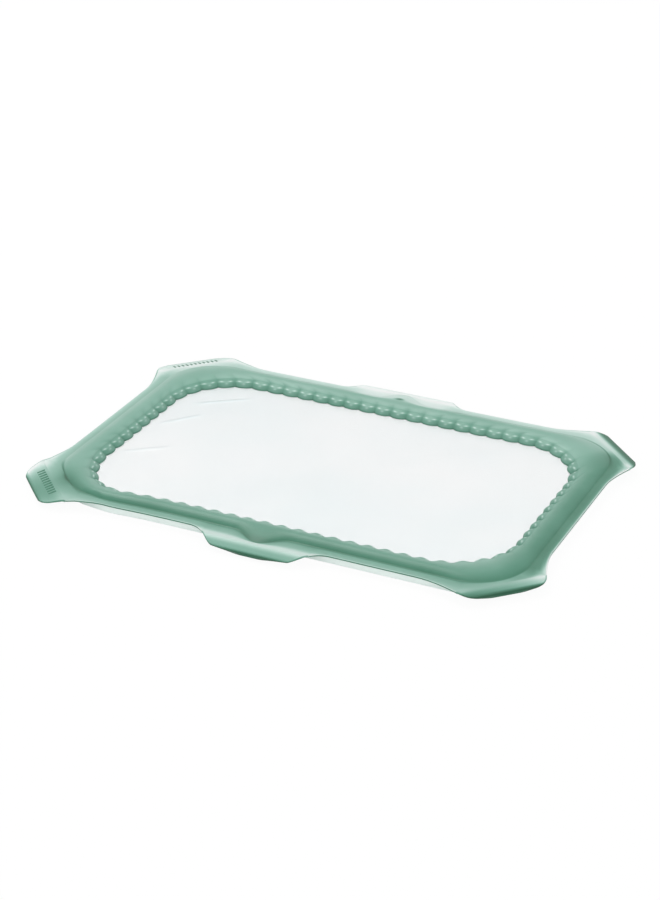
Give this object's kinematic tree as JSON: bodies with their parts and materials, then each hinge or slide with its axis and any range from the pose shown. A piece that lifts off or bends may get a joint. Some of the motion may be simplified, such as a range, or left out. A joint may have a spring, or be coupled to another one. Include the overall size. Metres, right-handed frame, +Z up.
{
  "type": "stretch lid",
  "caption": "Rectangular silicone stretch lid for an oven dish: clear film in a green frame with a fluted inner edge, a sealing skirt and pull tabs.",
  "frame": {"origin": "middle of the lid on the plane that the foot of its skirt stands on", "axes": "+X along the long side to the right, -Y towards the front, +Z up through the top face"},
  "size_m": [0.3469, 0.2444, 0.0094],
  "materials": {
    "clear_film": "clear glossy silicone film",
    "frame_green": "translucent satin silicone",
    "brim_green": "translucent satin silicone, thin",
    "skirt_pale": "translucent satin silicone, thin",
    "tab_green": "translucent satin silicone, thin",
    "tab_lip_green": "translucent satin silicone, thick"
  },
  "bodies": {
    "frame": {"clear_film": "clear_film", "fluted_edge": "frame_green", "crown": "frame_green", "brim": "brim_green", "skirt": "skirt_pale", "skirt_bead": "skirt_pale", "front_nose": "frame_green", "back_nose": "frame_green"},
    "front_left_flap": {"front_left_tab": "tab_green", "front_left_lip": "tab_lip_green", "front_left_grip_ribs": "tab_lip_green"},
    "front_right_flap": {"front_right_tab": "tab_green", "front_right_lip": "tab_lip_green"},
    "front_side_flap": {"front_side_tab": "tab_green", "front_side_lip": "tab_lip_green"},
    "back_left_flap": {"back_left_tab": "tab_green", "back_left_lip": "tab_lip_green", "back_left_grip_ribs": "tab_lip_green"},
    "back_right_flap": {"back_right_tab": "tab_green", "back_right_lip": "tab_lip_green"},
    "back_side_flap": {"back_side_tab": "tab_green", "back_side_lip": "tab_lip_green"}
  },
  "joints": [
    {"name": "front_left_fold", "type": "hinge", "parent": "frame", "child": "front_left_flap", "pos_m": [-0.15158, -0.09558, 0.0062], "axis": [-0.7071, 0.7071, 0], "range_deg": [-2, 90], "stiffness_Nm_per_rad": 0.01},
    {"name": "front_right_fold", "type": "hinge", "parent": "frame", "child": "front_right_flap", "pos_m": [0.15158, -0.09558, 0.0062], "axis": [-0.7071, -0.7071, 0], "range_deg": [-30, 90], "stiffness_Nm_per_rad": 0.01},
    {"name": "front_side_fold", "type": "hinge", "parent": "frame", "child": "front_side_flap", "pos_m": [0, -0.1143, 0.0062], "axis": [-1, 0, 0], "range_deg": [-4, 90], "stiffness_Nm_per_rad": 0.01},
    {"name": "back_left_fold", "type": "hinge", "parent": "frame", "child": "back_left_flap", "pos_m": [-0.15158, 0.09558, 0.0062], "axis": [0.7071, 0.7071, 0], "range_deg": [-2, 90], "stiffness_Nm_per_rad": 0.01},
    {"name": "back_right_fold", "type": "hinge", "parent": "frame", "child": "back_right_flap", "pos_m": [0.15158, 0.09558, 0.0062], "axis": [0.7071, -0.7071, 0], "range_deg": [-30, 90], "stiffness_Nm_per_rad": 0.01},
    {"name": "back_side_fold", "type": "hinge", "parent": "frame", "child": "back_side_flap", "pos_m": [0, 0.1143, 0.0062], "axis": [1, 0, 0], "range_deg": [-4, 90], "stiffness_Nm_per_rad": 0.01}
  ]
}
